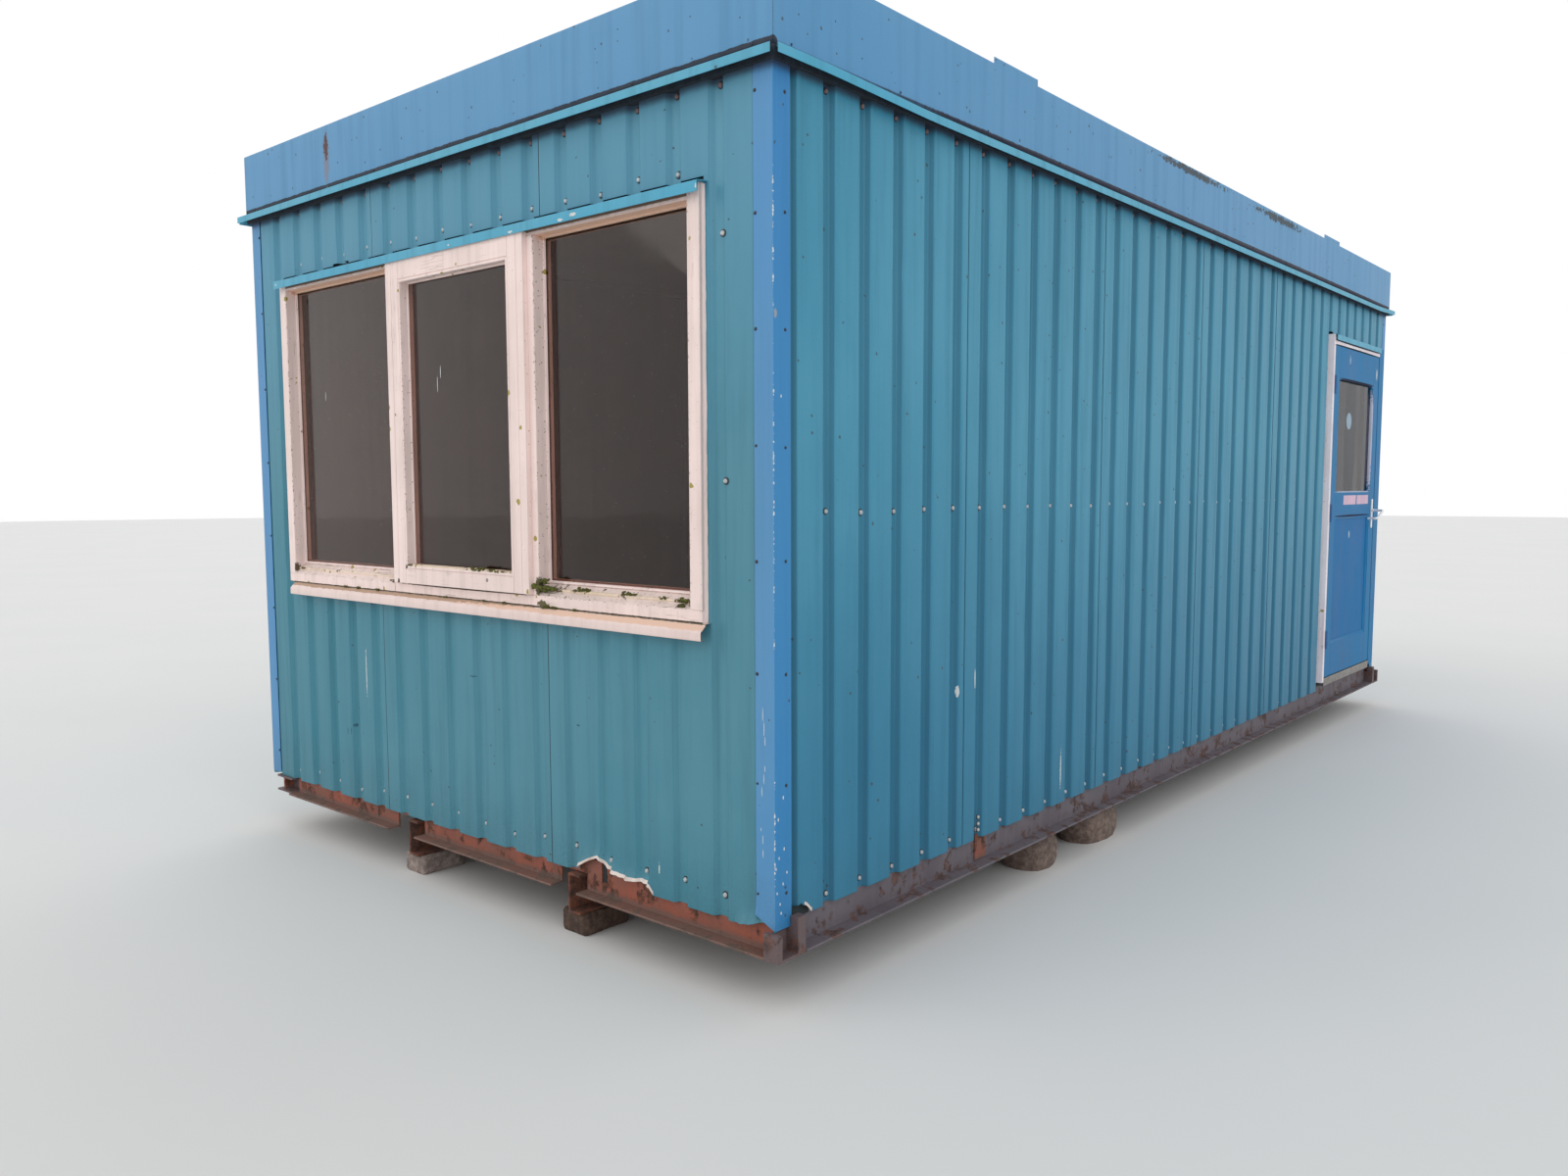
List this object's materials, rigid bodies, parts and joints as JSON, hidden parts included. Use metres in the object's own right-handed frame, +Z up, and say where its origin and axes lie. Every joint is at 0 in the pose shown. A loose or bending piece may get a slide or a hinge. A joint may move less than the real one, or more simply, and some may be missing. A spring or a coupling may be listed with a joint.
{
  "type": "portable site cabin",
  "caption": "Weathered ribbed-steel site cabin on concrete blocks, with a wide timber window in one end and a half-glazed side door.",
  "frame": {"origin": "on the ground, below the middle of the bounding box", "axes": "+Z up; +Y along the cabin, away from the window end, which faces -Y; +X across it, the way the side door faces"},
  "size_m": [3.148, 6.366, 2.944],
  "materials": {
    "teal_paint": "faded satin paint on ribbed steel sheet",
    "blue_paint": "faded satin paint on folded steel sheet",
    "turquoise_paint": "light satin paint on folded steel sheet",
    "white_paint": "worn off-white paint on a folded sheet",
    "roof_skin": "dull grey coated steel sheet",
    "red_oxide": "red-oxide primer with rust",
    "rusty_steel": "brown rust on old primer",
    "white_timber": "peeling off-white paint on timber",
    "blue_timber": "worn satin blue paint on timber",
    "lining_board": "dull grey-beige lining board",
    "floor_timber": "bare dull timber",
    "concrete": "rough concrete",
    "glass": "clear glass, slightly dirty",
    "stainless": "satin stainless steel",
    "hinge_steel": "dull steel"
  },
  "bodies": {
    "cabin": {"support_blocks": "concrete", "side_stones": "concrete", "skid_channels": "rusty_steel", "base_side_beams": "red_oxide", "base_end_beams": "red_oxide", "corner_stubs": "red_oxide", "floor_joists": "floor_timber", "floor_deck": "floor_timber", "front_wall_lower": "lining_board", "front_wall_upper": "lining_board", "front_wall_piers": "lining_board", "rear_wall": "lining_board", "left_wall": "lining_board", "right_wall": "lining_board", "door_lintel_wall": "lining_board", "front_cladding": "teal_paint", "rear_cladding": "teal_paint", "left_cladding": "teal_paint", "right_cladding": "teal_paint", "corner_trims": "blue_paint", "roof_panel": "roof_skin", "ceiling": "lining_board", "front_fascia": "blue_paint", "rear_fascia": "blue_paint", "left_fascia": "blue_paint", "right_fascia": "blue_paint", "drip_flashings": "turquoise_paint", "head_flashings": "turquoise_paint", "window_jambs": "white_timber", "window_rails": "white_timber", "sash_stiles": "white_timber", "sash_rails": "white_timber", "window_panes": "glass", "window_sill": "white_paint", "door_jambs": "blue_timber", "door_head": "white_timber", "door_threshold": "hinge_steel", "hinge_pins": "hinge_steel"},
    "door": {"door_stiles": "blue_timber", "door_rails": "blue_timber", "door_panel": "blue_timber", "door_glass": "glass", "handle_plates": "stainless", "hinge_knuckles": "hinge_steel"},
    "lever": {"door_lever": "stainless"}
  },
  "joints": [
    {"name": "door_swing", "type": "hinge", "parent": "cabin", "child": "door", "pos_m": [1.5016, 1.9675, 1.3345], "axis": [0, 0, -1], "range_deg": [0, 100]},
    {"name": "lever_turn", "type": "hinge", "parent": "door", "child": "lever", "pos_m": [1.472, 2.893, 1.337], "axis": [1, 0, 0], "range_deg": [0, 45], "stiffness_Nm_per_rad": 0.8, "springref_deg": -17.19}
  ]
}
